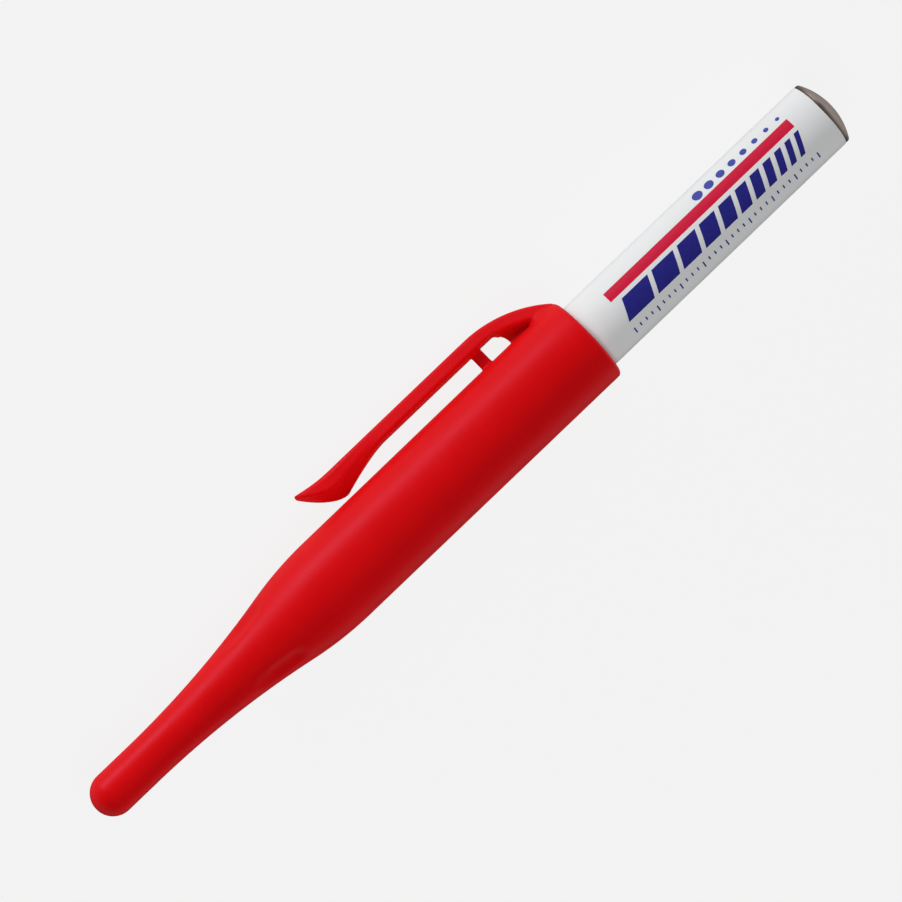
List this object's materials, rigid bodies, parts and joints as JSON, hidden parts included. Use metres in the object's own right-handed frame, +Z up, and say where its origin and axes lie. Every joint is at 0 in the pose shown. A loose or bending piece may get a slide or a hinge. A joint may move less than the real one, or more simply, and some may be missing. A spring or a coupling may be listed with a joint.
{
  "type": "long nib marker",
  "caption": "Capped fibre-tip marker with an extra long slim nib, a white aluminium barrel and a red tapered cap with a sprung pocket clip.",
  "frame": {"origin": "on the table under the middle of the capped marker's box", "axes": "+X along the pen from the cap's rounded tip to the barrel's closed end, +Y towards the clip's side, +Z up from the table"},
  "size_m": [0.16, 0.0206, 0.0155],
  "materials": {
    "red_polypropylene": "satin moulded",
    "natural_polyethylene": "waxy moulded",
    "white_lacquered_aluminium": "white lacquer, bare on the domed end",
    "white_polypropylene": "satin moulded",
    "stainless_steel": "drawn, bright",
    "inked_fibre": "soaked fibre",
    "wrapping_film": "thin film"
  },
  "bodies": {
    "pen_body": {"barrel": "white_lacquered_aluminium", "nib_holder": "white_polypropylene", "nib_tube": "stainless_steel", "fibre_nib": "inked_fibre", "ink_reservoir": "inked_fibre", "reservoir_film": "wrapping_film"},
    "cap": {"cap_shell": "red_polypropylene", "inner_cap": "natural_polyethylene"},
    "clip": {"pocket_clip": "red_polypropylene"}
  },
  "joints": [
    {"name": "cap_pull", "type": "slide", "parent": "pen_body", "child": "cap", "axis": [-1, 0, 0], "range_m": [0, 0.11]},
    {"name": "clip_flex", "type": "hinge", "parent": "cap", "child": "clip", "pos_m": [0.01101, 0.00915, 0.00185], "axis": [0, -0.4512, -0.8924], "range_deg": [0, 5], "stiffness_Nm_per_rad": 0.6}
  ]
}
